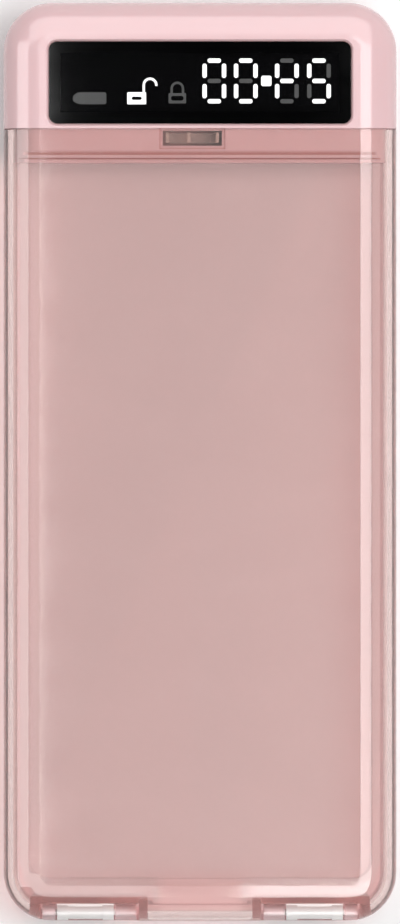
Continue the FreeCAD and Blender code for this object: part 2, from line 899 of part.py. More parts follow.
def display_marks():
    """The lit marks and the unlit marks of the display, as two lists of solids."""
    lit_letters = ("abcdef", "abcdef", "fbge", "afgcd")
    lit = []
    unlit = []
    for centre_x, letters in zip(digit_centres_x, lit_letters):
        for letter, solid in segment_bars(centre_x).items():
            (lit if letter in letters else unlit).append(solid)
    lit.append(mark(cut_corner_outline(dot_size, dot_size, bar_corner), dot_x, digit_row_y))
    lit.append(open_padlock_icon())
    unlit.append(closed_padlock_icon())
    unlit.append(battery_icon())
    return lit, unlit


def display_module():
    half_x, y0, y1 = module_outline()
    return block(-half_x, half_x, y0, y1, module_back, module_face)


# ---------------------------------------------------------------- boards
def board_span():
    """Lower and upper edge of the main board."""
    _, y0, y1 = module_outline()
    return y0, y1 + board_overhang_y


def board_screw_places():
    _, y1 = board_span()
    x = board_half_x - board_screw_inset_x
    return [(side * x, y1 - board_screw_inset_y) for side in (-1, 1)]


def main_board():
    y0, y1 = board_span()
    board = rounded_block(
        -board_half_x, board_half_x, y0, y1, board_bottom, board_top, board_corner_radius
    )
    for x, y in board_screw_places():
        board = board.cut(rod_z(x, y, 0, depth, board_screw_radius + screw_hole_play))
    return board


def board_screws():
    screws = []
    for x, y in board_screw_places():
        head = rod_z(x, y, board_bottom - board_screw_head_height, board_bottom, board_screw_head_radius)
        shank = rod_z(x, y, board_bottom, board_top + board_screw_reach, board_screw_radius)
        screws.append(fuse([head, shank]))
    return screws


def hung_block(x, y, size, height):
    """A square part under the main board."""
    half = size / 2
    return block(x - half, x + half, y - half, y + half, board_bottom - height, board_bottom)


def board_parts():
    """Controller, driver, sounder and battery plug on the underside of the main board."""
    y0, y1 = board_span()
    y = y0 + parts_row
    controller = hung_block(board_half_x - controller_inset, y, controller_size, controller_height)
    driver = hung_block(board_half_x - driver_inset, y, driver_size, driver_height)
    sounder_x = sounder_inset - board_half_x
    sounder_z = board_bottom - sounder_height
    sounder = rod_z(sounder_x, y, sounder_z, board_bottom, sounder_radius)
    sounder = sounder.cut(rod_z(sounder_x, y, sounder_z, sounder_z + sounder_port_depth, sounder_port_radius))
    plug = hung_block(battery_lead_x, y1 - plug_inset - plug_size / 2, plug_size, plug_height)
    sensor = hung_block(latch_x, pinion_y + sensor_behind, sensor_size, sensor_height)
    return [controller, driver, sounder, plug, sensor, header_socket()]


def header_block(z0, z1):
    """A block round the header's pins, in front of the control board."""
    half = header_pitch * (header_pins - 1) / 2 + header_margin
    return block(header_x - half, header_x + half, control_board_y0 - header_depth, control_board_y0, z0, z1)


def square_pins(half, z0, z1):
    """The header's row of square pins, or the holes for them."""
    first = header_x - header_pitch * (header_pins - 1) / 2
    y = control_board_y0 - header_depth / 2
    places = [first + i * header_pitch for i in range(header_pins)]
    return [block(x - half, x + half, y - half, y + half, z0, z1) for x in places]


header_foot = head_wall + battery_thickness + header_floor_gap
header_pin_top = board_bottom - header_socket_height + header_pin_reach


def header_socket():
    """The socket under the main board that takes the header's pins."""
    foot = board_bottom - header_socket_height
    socket = header_block(foot, board_bottom)
    return socket.cut(square_pins(header_pin_half + seat_gap, foot - 1, header_pin_top + seat_gap))


def header_base():
    """The header's moulding on the control board, with a hole for each pin."""
    top = header_foot + header_height
    return header_block(header_foot, top).cut(square_pins(header_pin_half, header_foot - 1, top + 1))


# ---------------------------------------------------------------- leads
def rising_lead(start_x, y, start_z, run, bend, top):
    """A round lead that leaves along +X, turns up in one bend and rises to a height."""
    turn_x = start_x + run
    rise_x = turn_x + bend
    rise_z = start_z + bend
    leaving = rod_x(start_x, turn_x, y, start_z, lead_radius)
    ring = Part.makeCircle(lead_radius, FreeCAD.Vector(rise_x, y, rise_z), FreeCAD.Vector(0, 0, 1))
    turn_axis = FreeCAD.Vector(0, 1, 0)
    turning = Part.Face(Part.Wire(ring)).revolve(FreeCAD.Vector(turn_x, y, rise_z), turn_axis, 90)
    rising = rod_z(rise_x, y, rise_z, top, lead_radius)
    return fuse([leaving, turning, rising])


def battery_lead(side):
    """One of the cell's two leads, up to the plug under the main board."""
    _, y1 = board_span()
    y = y1 - plug_inset - plug_size / 2 + side * lead_spread / 2
    top = board_bottom - plug_height
    return rising_lead(battery_x1, y, battery_lead_height, battery_lead_run, battery_lead_bend, top)


def motor_lead(side):
    """One of the motor's two leads, from its tab up to the main board."""
    start_x = motor_cap_x1 + motor_tab_length
    y = pinion_y + side * motor_tab_spread
    return rising_lead(start_x, y, pinion_z, motor_lead_run, motor_lead_bend, board_bottom)


def control_board():
    return block(
        -control_half_x,
        control_half_x,
        control_board_y0,
        control_board_y1,
        head_wall + control_board_floor_gap,
        control_board_top,
    )


def tact_switches():
    bodies = []
    half = switch_size / 2
    for x in button_places():
        body = block(
            x - half,
            x + half,
            control_board_y1,
            control_board_y1 + switch_depth,
            control_height - half,
            control_height + half,
        )
        face = control_board_y1 + switch_depth
        well = rod_y(x, face - switch_well_depth, face + 1, control_height, switch_well_radius)
        bodies.append(body.cut(well))
    return bodies


def button(x):
    """A push cap: its bar stands through the end wall, a flange holds it in, a stub presses the switch."""
    flange_y1 = top_y - head_wall - running_gap
    flange_y0 = flange_y1 - button_flange_thickness
    cap = pill_along_y(x, control_height, button_length, button_height, flange_y0, top_y)
    rim = [e for e in cap.Edges if e.BoundBox.YMin > top_y - 1e-4]
    cap = cap.makeChamfer(button_rim, rim)
    grown = 2 * (button_flange + running_gap)
    flange = pill_along_y(
        x, control_height, button_length + grown, button_height + grown, flange_y0, flange_y1
    )
    switch_face = control_board_y1 + switch_depth
    stub_y0 = switch_face - switch_well_depth + button_travel + running_gap
    stub = rod_y(x, stub_y0, flange_y1, control_height, button_stub_radius)
    return fuse([cap, flange, stub])


def usb_socket():
    front = top_y - usb_setback
    shell = pill_along_y(usb_x, control_height, usb_width, usb_height, control_board_y1, front)
    hollow = pill_along_y(
        usb_x,
        control_height,
        usb_width - 2 * usb_shell,
        usb_height - 2 * usb_shell,
        control_board_y1 + usb_back,
        front + 1,
    )
    tongue = block(
        usb_x - usb_tongue_width / 2,
        usb_x + usb_tongue_width / 2,
        control_board_y1 + usb_back / 2,
        front - usb_tongue_setback,
        control_height - usb_tongue_thickness / 2,
        control_height + usb_tongue_thickness / 2,
    )
    return fuse([shell.cut(hollow), tongue])


# ---------------------------------------------------------------- bolt and its drive
def rack_teeth(y0, y1, x0, x1):
    """Straight-sided teeth below the rack's strip, placed to mesh with the pinion's upper tooth."""
    pitch = math.pi * gear_module
    slope = math.tan(math.radians(pressure_angle))
    half_at_pitch = pitch / 4 - tooth_backlash / 4
    tip_z = rack_pitch_z - gear_module * tooth_addendum
    half_tip = half_at_pitch - slope * (rack_pitch_z - tip_z)
    half_root = half_at_pitch + slope * (bolt_bottom - rack_pitch_z)
    root_z = bolt_bottom + rack_strip / 2
    teeth = []
    first = math.ceil((y0 + half_root - pinion_y) / pitch - 0.5)
    last = math.floor((y1 - half_root - pinion_y) / pitch - 0.5)
    for i in range(first, last + 1):
        y = pinion_y + (i + 0.5) * pitch
        outline = [
            FreeCAD.Vector(x0, y - half_root, root_z),
            FreeCAD.Vector(x0, y - half_root, bolt_bottom),
            FreeCAD.Vector(x0, y - half_tip, tip_z),
            FreeCAD.Vector(x0, y + half_tip, tip_z),
            FreeCAD.Vector(x0, y + half_root, bolt_bottom),
            FreeCAD.Vector(x0, y + half_root, root_z),
        ]
        face = Part.Face(Part.makePolygon(outline + outline[:1]))
        teeth.append(face.extrude(FreeCAD.Vector(x1 - x0, 0, 0)))
    return teeth


def rack_stakes(growth):
    """The two studs that hold the rack to the bolt's tail, or their holes with the clearance round them."""
    top = bolt_top + growth
    radius = rack_stake_radius + growth
    ends = (bridge_y1 + rack_stake_inset, rack_y1 - rack_stake_inset)
    return [rod_z(latch_x, y, bolt_bottom + rack_strip / 2, top, radius) for y in ends]


def latch_bolt():
    """A flat fork whose two prongs enter the catch's eyes, with a thinner tail for the rack."""
    y1 = prong_root_y + bridge_length / 2
    left_x = catch_mid_x0 - prong_side_play
    right_x = catch_mid_x1 + prong_side_play
    left_prong = block(bolt_x0, left_x, prong_tip_y, y1, bolt_bottom, bolt_top)
    right_prong = block(right_x, bolt_x1, prong_tip_y, y1, bolt_bottom, bolt_top)
    bridge = block(bolt_x0, bolt_x1, prong_root_y, bridge_y1, bolt_bottom, bolt_top)
    tail = block(
        latch_x - rack_width / 2, latch_x + rack_width / 2, y1, rack_y1, bolt_bottom + rack_strip, bolt_top
    )
    bolt = fuse([left_prong, right_prong, bridge, tail])
    for hole in rack_stakes(seat_gap):
        bolt = bolt.cut(hole)
    tips = [
        e
        for e in bolt.Edges
        if e.BoundBox.YMax < prong_tip_y + 1e-4 and e.BoundBox.XLength > prong_side_play
    ]
    return bolt.makeChamfer(prong_chamfer, tips)


def bolt_rack():
    """The moulded rack: a strip under the bolt's tail, its teeth, and the two studs staked through it."""
    x0 = latch_x - rack_width / 2
    x1 = latch_x + rack_width / 2
    y0 = bridge_y1 + seat_gap
    strip = block(x0, x1, y0, rack_y1, bolt_bottom, bolt_bottom + rack_strip)
    return fuse([strip] + rack_teeth(y0, rack_y1, x0, x1) + rack_stakes(0.0))


def involute_flank(base_radius, start_radius, end_radius, steps):
    """Points (radius, roll angle) along an involute between two radii."""
    points = []
    for i in range(steps + 1):
        radius = start_radius + (end_radius - start_radius) * i / steps
        ratio = max(radius / base_radius, 1.0)
        pressure = math.acos(1 / ratio)
        points.append((radius, math.tan(pressure) - pressure))
    return points


def drive_pinion():
    """A small spur gear with involute flanks; a tooth points straight up at the rack."""
    base_radius = pitch_radius * math.cos(math.radians(pressure_angle))
    root_radius = pitch_radius - gear_module * tooth_dedendum
    tip_radius = pinion_tip_radius
    pitch_pressure = math.radians(pressure_angle)
    roll_at_pitch = math.tan(pitch_pressure) - pitch_pressure
    half_tooth = (math.pi * gear_module / 2 - tooth_backlash / 2) / 2 / pitch_radius
    flank = involute_flank(base_radius, max(base_radius, root_radius), tip_radius, 3)
    outline = []
    for i in range(pinion_teeth):
        middle = 2 * math.pi * i / pinion_teeth
        rising = [(root_radius, -(half_tooth + roll_at_pitch))]
        rising += [(r, -(half_tooth + roll_at_pitch - roll)) for r, roll in flank]
        falling = [(r, -a) for r, a in reversed(rising)]
        for radius, angle in rising + falling:
            turn = middle + angle
            outline.append(
                FreeCAD.Vector(0, pinion_y + radius * math.sin(turn), pinion_z + radius * math.cos(turn))
            )
    face = Part.Face(Part.makePolygon(outline + outline[:1]))
    gear = face.extrude(FreeCAD.Vector(pinion_width, 0, 0))
    gear.translate(FreeCAD.Vector(latch_x - pinion_width / 2, 0, 0))
    x1 = latch_x + pinion_width / 2
    hub = rod_x(x1 - 0.1, x1 + pinion_hub_length, pinion_y, pinion_z, pinion_hub_radius)
    gear = fuse([gear, hub])
    return gear.cut(rod_x(-half_width, half_width, pinion_y, pinion_z, shaft_radius))


def output_shaft():
    x0 = chassis_x0 + chassis_shaft_play
    return rod_x(x0, chassis_x1 + shaft_in_gearbox, pinion_y, pinion_z, shaft_radius)


def chassis_screw_places():
    x = chassis_x0 - chassis_flange / 2
    return [(x, chassis_base_y0 + chassis_screw_margin), (x, chassis_y1 - chassis_screw_margin)]


def latch_chassis():
    """The moulded frame that guides the bolt, carries the pinion's shaft and holds the motor.

    Its base and its two side walls stand behind the head's neck. Above them the walls and the
    shelves and lips that guide the bolt run forward to the catch.
    """
    base = block(
        chassis_x0 - chassis_flange, chassis_x1, chassis_base_y0, chassis_y1, chassis_foot, chassis_floor
    )
    parts = [base]
    guide_foot = chassis_shelf_top - chassis_shelf
    for outer_x, side in ((chassis_x0, 1), (chassis_x1, -1)):
        inner_x = outer_x + side * chassis_wall
        lip_x = inner_x + side * chassis_lip
        wall_x = sorted((outer_x, inner_x))
        guide_x = sorted((outer_x, lip_x))
        parts.append(block(*wall_x, chassis_base_y0, chassis_y1, chassis_foot, chassis_top))
        parts.append(block(*wall_x, chassis_y0, chassis_y1, guide_foot, chassis_top))
        parts.append(block(*guide_x, chassis_y0, chassis_y1, guide_foot, chassis_shelf_top))
        parts.append(block(*guide_x, chassis_y0, chassis_y1, bolt_top + running_gap, chassis_top))
    frame = fuse(parts)
    hole = shaft_radius + shaft_clearance
    frame = frame.cut(rod_x(chassis_x0 - 1, chassis_x1 + 1, pinion_y, pinion_z, hole))
    for x, y in chassis_screw_places():
        frame = frame.cut(rod_z(x, y, 0, depth, screw_radius + screw_hole_play))
    return frame.removeSplitter()


def chassis_screws():
    screws = []
    for x, y in chassis_screw_places():
        head = rod_z(x, y, chassis_floor, chassis_floor + screw_head_height, screw_head_radius)
        shank = rod_z(x, y, head_wall + 2 * screw_tip_gap, chassis_floor, screw_radius)
        screws.append(fuse([head, shank]))
    return screws


def motor_profile(x0, x1, growth=0.0):
    """The motor's section: a round can with two flats, above and below."""
    can = rod_x(x0, x1, pinion_y, pinion_z, motor_width / 2 + growth)
    half = motor_height / 2 + growth
    flats = block(
        x0, x1, pinion_y - motor_width, pinion_y + motor_width, pinion_z - half, pinion_z + half
    )
    return can.common(flats)


def gearbox():
    """Two end plates with posts between them round a slimmer train, and a blind bore for the shaft."""
    x0 = chassis_x1
    waist_x0 = x0 + gearbox_plate
    waist_x1 = gearbox_x1 - gearbox_plate
    groove = motor_profile(waist_x0, waist_x1).cut(motor_profile(waist_x0, waist_x1, -gearbox_waist))
    half_post = gearbox_post_width / 2
    for side in (-1, 1):
        y = pinion_y + side * gearbox_post_spread
        groove = groove.cut(block(x0, gearbox_x1, y - half_post, y + half_post, 0, depth))
    bore = rod_x(
        x0 - 1, x0 + shaft_in_gearbox + shaft_end_gap, pinion_y, pinion_z, shaft_radius + shaft_clearance
    )
    return motor_profile(x0, gearbox_x1).cut(groove).cut(bore)


def motor():
    can = motor_profile(gearbox_x1, motor_x1)
    ends = [e for e in can.Edges if e.BoundBox.XMin > motor_x1 - 1e-4]
    return can.makeChamfer(motor_edge, ends)


def motor_cap():
    cap = motor_profile(motor_x1, motor_cap_x1, -motor_cap_step)
    half_width_of_tab = motor_tab_width / 2
    half_thickness = motor_tab_thickness / 2
    tabs = []
    for side in (-1, 1):
        y = pinion_y + side * motor_tab_spread
        tabs.append(
            block(
                motor_cap_x1 - half_thickness,
                motor_cap_x1 + motor_tab_length,
                y - half_width_of_tab,
                y + half_width_of_tab,
                pinion_z - half_thickness,
                pinion_z + half_thickness,
            )
        )
    return fuse([cap] + tabs)


def motor_cradle():
    """Two ribs on the head's floor, on each side of the clamp, that the motor lies on."""
    top = pinion_z - motor_height / 2
    y0 = pinion_y - motor_width / 4
    y1 = pinion_y + motor_width / 4
    left = block(clamp_x0 - cradle_gap - cradle_rib, clamp_x0 - cradle_gap, y0, y1, head_wall / 2, top)
    right = block(clamp_x1 + cradle_gap, clamp_x1 + cradle_gap + cradle_rib, y0, y1, head_wall / 2, top)
    return [left, right]


def motor_clamp():
    """A strap over the motor whose two legs stand on the head's floor."""
    half_y = motor_width / 2 + seat_gap
    legroom = block(clamp_x0, clamp_x1, pinion_y - half_y, pinion_y + half_y, 0, pinion_z)
    inside = fuse([motor_profile(clamp_x0, clamp_x1, seat_gap), legroom])
    outer_y = half_y + clamp_thickness
    top = pinion_z + motor_height / 2 + seat_gap + clamp_thickness
    strap = block(clamp_x0, clamp_x1, pinion_y - outer_y, pinion_y + outer_y, head_wall, top)
    corners = [
        e
        for e in strap.Edges
        if e.BoundBox.ZMin > top - 1e-4 and e.BoundBox.XLength > clamp_width / 2
    ]
    return strap.makeFillet(clamp_corner, corners).cut(inside).removeSplitter()


def battery_cell():
    """A flat pouch cell that fills the room between the case screw boss, the chassis and the buttons."""
    x0 = boss_radius - case_screw_x + battery_gap
    y0 = seam_y + neck_root + running_gap
    y1 = control_board_y0 - battery_gap
    cell = block(x0, battery_x1, y0, y1, head_wall, head_wall + battery_thickness)
    long_edges = [e for e in cell.Edges if e.BoundBox.YLength > (y1 - y0) / 2]
    return cell.makeFillet(battery_edge_radius, long_edges)


# ---------------------------------------------------------------- fasteners
def case_screws():
    reach = parting_height - case_screw_head_depth - screw_head_height + case_screw_reach
    return [screw(x, y, case_screw_head_depth, reach) for x, y in case_screw_places()]


def neck_screws():
    y = seam_y - neck_reach / 2
    tip = neck_inset + neck_wall + neck_screw_reach - neck_screw_end_gap
    reach = tip - neck_screw_seat - screw_head_height
    return [screw(side * neck_screw_x, y, neck_screw_seat, reach) for side in (-1, 1)]


# ---------------------------------------------------------------- all nodes
lit_marks, unlit_marks = display_marks()
hour_x, minute_x, lock_x = button_places()

nodes = {
    "rear_tray": rear_tray(),
    "front_cover": front_cover(),
    "cover_catch": cover_catch(),
    "hinge_pins": [hinge_pin(-1, 0.0), hinge_pin(1, 0.0)],
    "head_rear_shell": head_rear_shell(),
    "head_front_shell": head_front_shell(),
    "display_window": display_window(),
    "display_module": display_module(),
    "lit_segments": lit_marks,
    "unlit_segments": unlit_marks,
    "main_board": main_board(),
    "board_parts": board_parts(),
    "board_screws": board_screws(),
    "control_board": control_board(),
    "tact_switches": tact_switches(),
    "usb_c_socket": usb_socket(),
    "hour_button": button(hour_x),
    "minute_button": button(minute_x),
    "lock_button": button(lock_x),
    "latch_bolt": latch_bolt(),
    "bolt_rack": bolt_rack(),
    "drive_pinion": drive_pinion(),
    "output_shaft": output_shaft(),
    "latch_chassis": latch_chassis(),
    "chassis_screws": chassis_screws(),
    "motor_gearbox": gearbox(),
    "motor": motor(),
    "motor_cap": motor_cap(),
    "motor_clamp": motor_clamp(),
    "battery_cell": battery_cell(),
    "battery_lead_red": battery_lead(1),
    "battery_lead_black": battery_lead(-1),
    "motor_lead_red": motor_lead(1),
    "motor_lead_black": motor_lead(-1),
    "header_base": header_base(),
    "header_pins": square_pins(header_pin_half, header_foot, header_pin_top),
    "case_screws": case_screws(),
    "neck_screws": neck_screws(),
}

os.makedirs("parts", exist_ok=True)
for name, shape in nodes.items():
    solid = Part.makeCompound(shape) if isinstance(shape, list) else shape
    solid.exportStep(f"parts/{name}.step")
    print(name, len(solid.Solids), round(solid.Volume, 1), solid.isValid())
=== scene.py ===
"""Finish, light and stage of a timed lock container for one telephone, laid out as an add-on.

The container lies on its back: X runs across it, +Y points at the head with the display, +Z out of
its front. Every moulding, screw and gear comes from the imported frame; this file gives each its finish.
"""

import math

import bpy
from bpy.props import FloatProperty, FloatVectorProperty, PointerProperty
from bpy.types import NodeSocket, Operator, Panel, PropertyGroup
from mathutils import Matrix, Vector


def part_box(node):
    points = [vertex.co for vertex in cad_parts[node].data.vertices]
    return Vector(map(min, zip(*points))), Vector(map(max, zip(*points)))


bl_info = {
    "name": "Timed lock container",
    "version": (1, 0, 0),
    "blender": (4, 5, 0),
    "location": "View3D > Sidebar > Lock box",
    "description": "Gives the lock container its plastics, display, drive, fasteners and studio",
    "category": "Object",
}

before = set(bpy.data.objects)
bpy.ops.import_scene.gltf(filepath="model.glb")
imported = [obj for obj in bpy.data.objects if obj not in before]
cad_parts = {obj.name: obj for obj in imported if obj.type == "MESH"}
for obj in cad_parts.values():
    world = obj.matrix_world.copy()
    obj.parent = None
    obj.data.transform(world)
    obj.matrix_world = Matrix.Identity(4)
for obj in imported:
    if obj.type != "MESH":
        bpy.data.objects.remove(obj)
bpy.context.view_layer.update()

# places and sizes on the box
MM = 0.001
FLAT_HALF_WIDTH = 37.5 * MM  # of the front's flat, from its middle
FLAT_FOOT = -99.6 * MM  # where the flat ends towards the hinges
KNUCKLE_NEAR = 20.1 * MM  # inner end of the cover's hinge knuckle, from the middle
KNUCKLE_FAR = 33.6 * MM
KNUCKLE_WALL = 1.3 * MM  # round the pin
MARK_GAP = 0.01 * MM  # between the light marks and what they lie on
PRINT_OVERLAP = 0.5 * MM  # of the window's black print over the display module's edge

# surfaces
ACRYLIC_IOR = 1.49
CLEAR_SKIN_DEPTH = 0.03 * MM
OPAQUE_SKIN_DEPTH = 0.05 * MM
METAL_LINE_DEPTH = 0.01 * MM
SOFT_DEPTH = 0.6 * MM  # how far light creeps below an opaque plastic's skin
SOFT_REACH = (1.0, 0.45, 0.4)  # the same for red, green and blue, beside each other
WAVE_SHARE = 3.0  # of the slow wave in a moulding's skin, beside its fine grain
# how strongly the painted shade darkens the crevices
PAINTED_SHADE_GAIN = 1.6
WORN_ROUGHNESS = 0.22  # what lines and tarnish add to a metal's roughness
WHITE = (1.0, 1.0, 1.0, 1.0)

# studio, in metres from the middle of the box's back
GROUND_REACH = 9.0
GLOW_START = 0.4  # the ground's own glow grows from here
GLOW_END = 2.4
GLOW_LOW = 0.10
GLOW_HIGH = 0.75
LAMP_HEIGHT = 1.2
LEAN_HEIGHT = 0.36  # lower end of the two lamps that lean
SHEEN_DROP = 0.005  # the lamp for a reflection hangs this far below its own
KEY_NEAR = 0.08
KEY_FAR = 0.87
KEY_SHIFT = 0.02
KEY_HALF_WIDTH = 0.32
FOOT_SHIFT = 0.45
FOOT_FAR = -1.05
FOOT_HALF_WIDTH = 0.437
HEAD_NEAR = 0.36
HEAD_FAR = 1.35
HEAD_HALF_WIDTH = 0.95
FILL_NEAR = -0.9
FILL_FAR = -1.36
FILL_SHIFT = -0.1
FILL_HALF_WIDTH = 0.6
EDGE_FAR = -0.14
EDGE_HALF_WIDTH = 0.4
CARD_SPAN_X = (-0.07, 0.055)
CARD_SPAN_Y = (-0.30, 0.40)
CARD_RISE = 0.3  # of the dark card above the lamps


# ------------------------------------------------------------------ settings
def colour(name, description, default):
    return FloatVectorProperty(
        name=name,
        description=description,
        subtype="COLOR",
        size=3,
        min=0.0,
        max=1.0,
        default=default,
    )


def share(name, description, default):
    return FloatProperty(
        name=name, description=description, subtype="FACTOR", min=0.0, max=1.0, default=default
    )


def distance(name, description, default):
    return FloatProperty(
        name=name,
        description=description,
        unit="LENGTH",
        subtype="DISTANCE",
        min=0.0,
        default=default,
    )


def strength(name, description, default):
    return FloatProperty(
        name=name, description=description, min=0.0, soft_max=50.0, default=default
    )


class LockBoxPlastics(PropertyGroup):
    """Colours and clarity of the mouldings."""

    cover_colour: colour("Cover", "Cast of the clear cover at its surface", (0.98, 0.96, 0.95))
    cover_depth_colour: colour(
        "Cover in depth", "What is left of white light in the cover", (0.72, 0.28, 0.22)
    )
    cover_density: strength("Cover density", "How fast the cover colours light, per metre", 95.0)
    cover_milk: share("Cover milk", "Share of the light that the cover scatters at its skin", 0.05)
    cover_lamp_share: colour(
        "Cover lamp share", "Light that passes each face of the cover", (1.0, 0.97, 0.96)
    )
    # the catch's grey-brown is painted shade, for the dark pocket it sits in; its milkiness is its own frost
    catch_painted_shade_colour: colour("Catch", "Surface colour of the frosted catch", (0.64, 0.54, 0.49))
    # the knuckles' near-white is partly painted highlight, for the glare of light in the clear spool
    knuckle_white_and_glare: colour(
        "Knuckles", "Colour of the cover's frosted hinge knuckles", (0.92, 0.90, 0.89)
    )
    pin_colour: colour("Hinge pins", "Colour of the hinge pins", (0.86, 0.85, 0.84))
    tray_colour: colour("Tray", "Surface colour of the pink tray", (0.90, 0.76, 0.77))
    tray_depth_colour: colour(
        "Tray in depth", "What is left of white light in the tray", (0.80, 0.45, 0.42)
    )
    tray_density: strength("Tray density", "How fast the tray colours light, per metre", 45.0)
    tray_milk: share("Tray milk", "Share of the light that the tray scatters at its skin", 0.45)
    tray_lamp_share: colour(
        "Tray lamp share", "Light that passes each face of the tray", (0.94, 0.86, 0.86)
    )
    head_colour: colour("Head", "Colour of the opaque head", (0.80, 0.535, 0.55))
    # colour of the painted shade in the head's grooves and inner corners
    painted_crevice_shade_tint: colour(
        "Crevices", "Tint of the head's grooves and inner corners", (0.72, 0.45, 0.40)
    )
    button_colour: colour("Buttons", "Colour of the push buttons", (0.74, 0.42, 0.44))


class LockBoxDisplay(PropertyGroup):
    """The lit marks and the smoked window."""

    lit_colour: colour("Lit marks", "Colour of the lit marks", (1.0, 1.0, 1.0))
    lit_strength: strength("Lit strength", "How bright the lit marks are", 2.6)
    # the unlit marks glow faintly: painted light, for the light they pick up from the lit marks beside them
    idle_glow_colour: colour("Unlit marks", "Colour of the marks that are off", (0.30, 0.30, 0.30))
    idle_painted_glow: strength(
        "Unlit strength", "Glow that the marks beside lit ones pick up", 0.15
    )
    smoke: share("Smoke", "Share of the light that the window holds back over the marks", 0.5)


class LockBoxStudio(PropertyGroup):
    """Camera and lamps."""

    view_height: distance(
        "View height", "Height of the field of view at the box's widest outline", 216.3 * MM
    )
    view_distance: distance(
        "Camera distance", "From the camera to the box's widest outline", 4.0
    )
    outline_height: distance(
        "Outline height", "Where the box is widest, above the floor", 16.5 * MM
    )
    key_strength: strength("Key", "Radiance of the light on the right", 5.8)
    foot_strength: strength("Foot", "Radiance of the light beyond the hinge end", 0.7)
    head_strength: strength("Head", "Radiance of the light beyond the head", 0.7)
    fill_strength: strength("Fill", "Radiance of the wide light on the left", 0.6)
    key_sheen: strength(
        "Key sheen", "Radiance of the light on the right in polished surfaces", 1.2
    )
    foot_sheen: strength(
        "Foot sheen", "Radiance beyond the hinge end in polished surfaces", 10.0
    )
    head_sheen: strength("Head sheen", "Radiance beyond the head in polished surfaces", 2.5)
    fill_sheen: strength("Fill sheen", "Radiance of the wide light in polished surfaces", 4.2)
    corner_sheen: strength(
        "Corner sheen", "Radiance beyond the left hinge in polished surfaces", 4.0
    )
    edge_sheen: strength("Edge sheen", "Radiance of the narrow light over the left edge", 7.0)
    room_strength: strength("Room", "Strength of the surroundings", 0.25)
    room_sheen: strength("Room sheen", "Strength of the surroundings in polished surfaces", 0.8)
    beyond_strength: strength(
        "Beyond", "Strength of the surroundings seen through the plastic", 0.8
    )


# ------------------------------------------------------------------ node helpers
def set_inputs(tree, node, inputs):
    """Fills a node's inputs, given by name or number, each with a value or from a socket."""
    for key, value in inputs.items():
        if isinstance(value, NodeSocket):
            tree.links.new(value, node.inputs[key])
        else:
            node.inputs[key].default_value = value


def add(tree, kind, inputs=None, **settings):
    """One node with its settings and inputs."""
    node = tree.nodes.new(kind)
    for name, value in settings.items():
        setattr(node, name, value)
    set_inputs(tree, node, inputs or {})
    return node


def math_node(tree, operation, a, b=0.0, c=0.0, clamp=False):
    inputs = {0: a, 1: b, 2: c}
    return add(tree, "ShaderNodeMath", inputs, operation=operation, use_clamp=clamp).outputs[0]


def spread(tree, value, low, high):
    """A value from 0 to 1 spread between two numbers."""
    return add(tree, "ShaderNodeMapRange", {"Value": value, "To Min": low, "To Max": high}).outputs[0]


def noise(tree, vector, scale, detail=3.0, roughness=0.55):
    inputs = {"Vector": vector, "Scale": scale, "Detail": detail, "Roughness": roughness}
    return add(tree, "ShaderNodeTexNoise", inputs).outputs["Fac"]


def object_place(tree):
    return add(tree, "ShaderNodeTexCoord").outputs["Object"]


def stretched(tree, vector, scale, turn=0.0):
    inputs = {"Vector": vector, "Rotation": (0.0, 0.0, turn), "Scale": scale}
    return add(tree, "ShaderNodeMapping", inputs).outputs[0]


def grey(tree, value):
    return add(tree, "ShaderNodeCombineColor", {0: value, 1: value, 2: value}).outputs[0]


def mix_colours(tree, part, first, second, blend="MIX"):
    inputs = {0: part, 6: first, 7: second}
    return add(tree, "ShaderNodeMix", inputs, data_type="RGBA", blend_type=blend).outputs[2]


def multiply(tree, first, second):
    """Two colours multiplied."""
    return mix_colours(tree, 1.0, first, second, blend="MULTIPLY")


def mix_values(tree, part, first, second):
    return add(tree, "ShaderNodeMix", {0: part, 2: first, 3: second}).outputs[0]


def new_group(name, inputs, outputs):
    """A shader node group with named sockets, what it is given and what it puts out."""
    group = bpy.data.node_groups.new(name, "ShaderNodeTree")
    for socket_name, kind, default in inputs:
        socket = group.interface.new_socket(socket_name, in_out="INPUT", socket_type=kind)
        socket.default_value = default
    for socket_name, kind in outputs:
        group.interface.new_socket(socket_name, in_out="OUTPUT", socket_type=kind)
    given = group.nodes.new("NodeGroupInput").outputs
    return group, given, group.nodes.new("NodeGroupOutput").inputs


def use_group(tree, name, inputs):
    """A shared group placed in a tree, with its own values. Returns its outputs."""
    node = tree.nodes.new("ShaderNodeGroup")
    node.node_tree = bpy.data.node_groups[name]
    set_inputs(tree, node, inputs)
    return node.outputs


# ------------------------------------------------------------------ shared groups
FLOAT = "NodeSocketFloat"
COLOUR = "NodeSocketColor"


